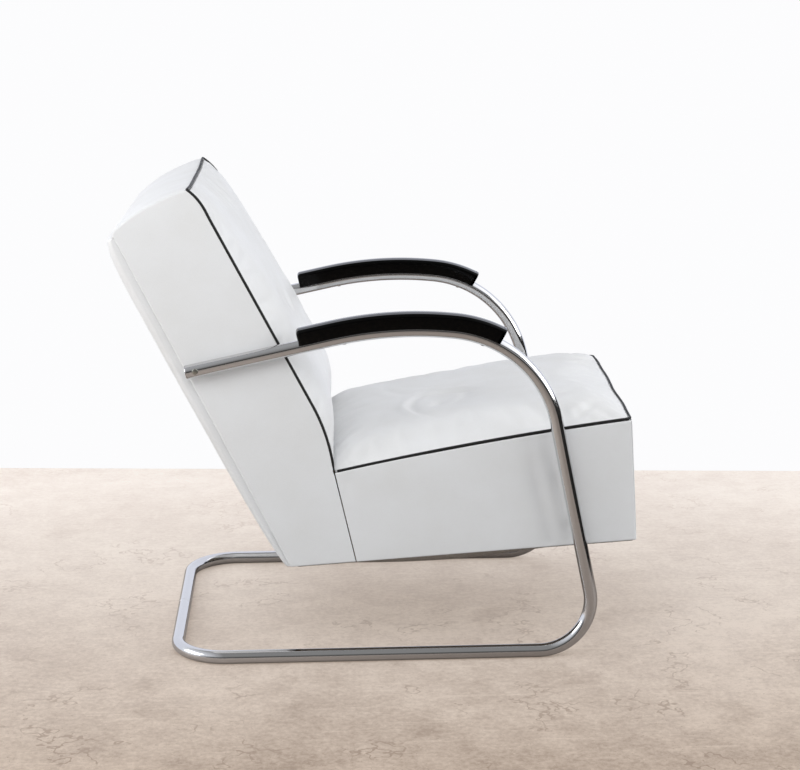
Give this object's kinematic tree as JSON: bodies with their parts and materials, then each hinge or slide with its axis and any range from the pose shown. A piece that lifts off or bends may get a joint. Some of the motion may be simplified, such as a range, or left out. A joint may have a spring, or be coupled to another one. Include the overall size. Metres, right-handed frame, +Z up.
{
  "type": "cantilever lounge chair",
  "caption": "Cantilever lounge chair: a bent chromed tube frame with arched black armrests, and a deep boxed seat and reclined back in pale leather with black piping.",
  "frame": {"origin": "on the floor, under the middle of the whole chair's length and width", "axes": "+X to the front of the chair, +Y to the sitter's left, +Z up"},
  "size_m": [0.9224, 0.598, 0.8406],
  "materials": {
    "chrome": "polished chrome plating",
    "steel": "zinc-plated fixings",
    "lacquer": "bent wood in gloss black lacquer",
    "timber": "planed beech, unfinished",
    "upholstery": "grained pale grey leather",
    "piping": "black leather over cord",
    "webbing": "woven jute",
    "dust_cloth": "black woven cotton"
  },
  "bodies": {
    "root": {"crossbar_sleeve": "steel", "frame_tube_right": "chrome", "armrest_right": "lacquer", "sleeve_screw_right": "steel", "tube_plug_right": "chrome", "armrest_screw_right_front": "steel", "armrest_screw_right_rear": "steel", "back_screw_right": "chrome", "back_spacer_right": "steel", "seat_bolt_right_lower": "steel", "seat_spacer_right_lower": "steel", "seat_bolt_right_upper": "steel", "seat_spacer_right_upper": "steel", "frame_tube_left": "chrome", "armrest_left": "lacquer", "sleeve_screw_left": "steel", "tube_plug_left": "chrome", "armrest_screw_left_front": "steel", "armrest_screw_left_rear": "steel", "back_screw_left": "chrome", "back_spacer_left": "steel", "seat_bolt_left_lower": "steel", "seat_spacer_left_lower": "steel", "seat_bolt_left_upper": "steel", "seat_spacer_left_upper": "steel", "seat_rail_rear": "timber", "seat_rail_front": "timber", "seat_rail_right": "timber", "seat_block_right_rear": "timber", "seat_block_right_front": "timber", "seat_panel_right": "upholstery", "seat_rail_left": "timber", "seat_block_left_rear": "timber", "seat_block_left_front": "timber", "seat_panel_left": "upholstery", "seat_panel_front": "upholstery", "seat_webbing": "webbing", "seat_dust_cover": "dust_cloth", "seat_cushion": "upholstery", "seat_piping": "piping", "joint_plate_right": "steel", "joint_plate_left": "steel", "back_stile_right": "timber", "back_panel_right": "upholstery", "back_stile_left": "timber", "back_panel_left": "upholstery", "back_rail_top": "timber", "back_rail_middle": "timber", "back_rail_bottom": "timber", "back_webbing": "webbing", "back_panel_top": "upholstery", "back_panel_rear": "upholstery", "back_cushion": "upholstery", "back_piping": "piping"}
  },
  "joints": []
}
